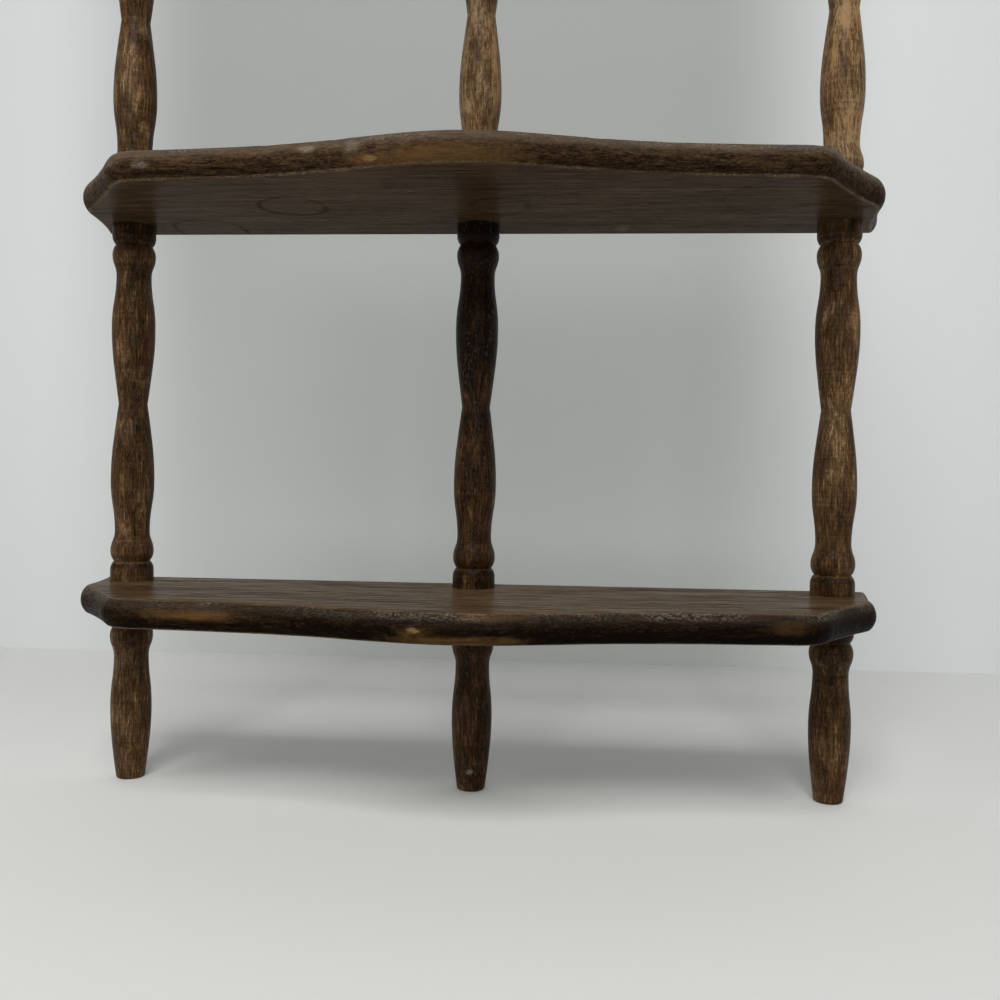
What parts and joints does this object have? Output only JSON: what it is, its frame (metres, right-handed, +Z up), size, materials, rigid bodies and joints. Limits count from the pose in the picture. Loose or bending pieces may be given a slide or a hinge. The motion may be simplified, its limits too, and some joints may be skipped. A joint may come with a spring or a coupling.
{
  "type": "spindle wall shelf",
  "caption": "Wall shelf of dark wood boards with scalloped, rounded edges, spaced by turned spindles on short turned legs and hung from keyhole plates.",
  "frame": {"origin": "midway between the entry holes of the two keyhole plates, on the rear edge of the top board", "axes": "+X to the right seen from the front, +Y to the wall behind the shelf, +Z up"},
  "size_m": [0.4784, 0.143, 0.5877],
  "materials": {
    "board_wood": "dark stain under satin lacquer, worn at the edges",
    "turning_wood": "dark stain under satin lacquer",
    "screw_steel": "zinc plated",
    "plate_steel": "zinc plated"
  },
  "bodies": {
    "root": {"shelf_bottom": "board_wood", "shelf_middle": "board_wood", "shelf_top": "board_wood", "spindle_lower_left": "turning_wood", "spindle_lower_centre": "turning_wood", "spindle_lower_right": "turning_wood", "spindle_upper_left": "turning_wood", "spindle_upper_centre": "turning_wood", "spindle_upper_right": "turning_wood", "leg_left": "turning_wood", "leg_centre": "turning_wood", "leg_right": "turning_wood", "dowel_screw_bottom_left": "screw_steel", "dowel_screw_bottom_centre": "screw_steel", "dowel_screw_bottom_right": "screw_steel", "dowel_screw_middle_left": "screw_steel", "dowel_screw_middle_centre": "screw_steel", "dowel_screw_middle_right": "screw_steel", "top_screw_left": "screw_steel", "top_screw_centre": "screw_steel", "top_screw_right": "screw_steel", "keyhole_plate_left": "plate_steel", "keyhole_plate_right": "plate_steel", "keyhole_screws_left": "screw_steel", "keyhole_screws_right": "screw_steel"}
  },
  "joints": []
}
